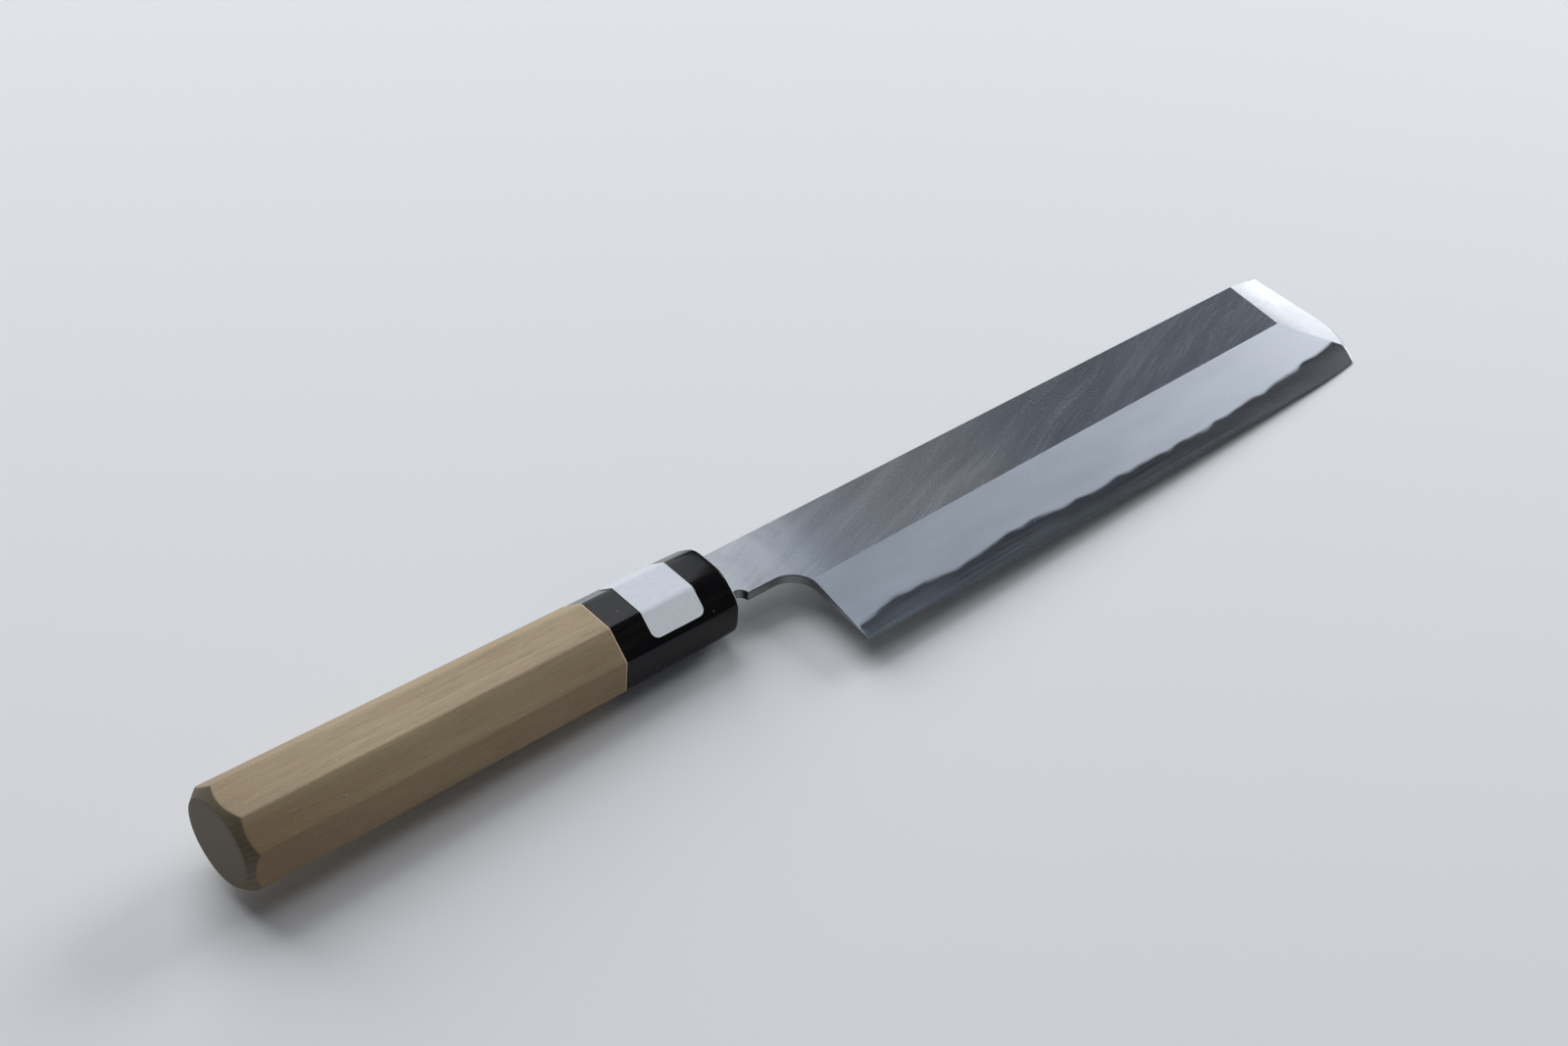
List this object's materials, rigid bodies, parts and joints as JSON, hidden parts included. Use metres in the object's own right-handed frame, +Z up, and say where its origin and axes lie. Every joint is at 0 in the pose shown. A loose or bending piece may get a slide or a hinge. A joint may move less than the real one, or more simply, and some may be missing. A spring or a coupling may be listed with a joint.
{
  "type": "usuba knife",
  "caption": "Japanese vegetable knife with a tall single-bevel blade, square front end, forge-welded steel edge and an octagonal wooden handle with a dark horn ferrule.",
  "frame": {"origin": "on the ground, at the centre of the knife's footprint as it lies back down", "axes": "+X from the butt of the handle to the front end of the blade, +Y from the cutting edge to the spine, +Z up, out of the bevelled face; the knife leans forward by about 2.4 degrees, on its ferrule and its front end"},
  "size_m": [0.3456, 0.0486, 0.0267],
  "materials": {
    "soft_iron": "satin ground",
    "hard_steel": "fine polished",
    "magnolia_wood": "fine sanded, open grain",
    "black_horn": "polished",
    "dark_wax": "matt",
    "white_paper": "satin"
  },
  "bodies": {
    "root": {"blade_iron": "soft_iron", "blade_steel": "hard_steel", "handle": "magnolia_wood", "ferrule": "black_horn", "tang_seal": "dark_wax", "label": "white_paper"}
  },
  "joints": []
}
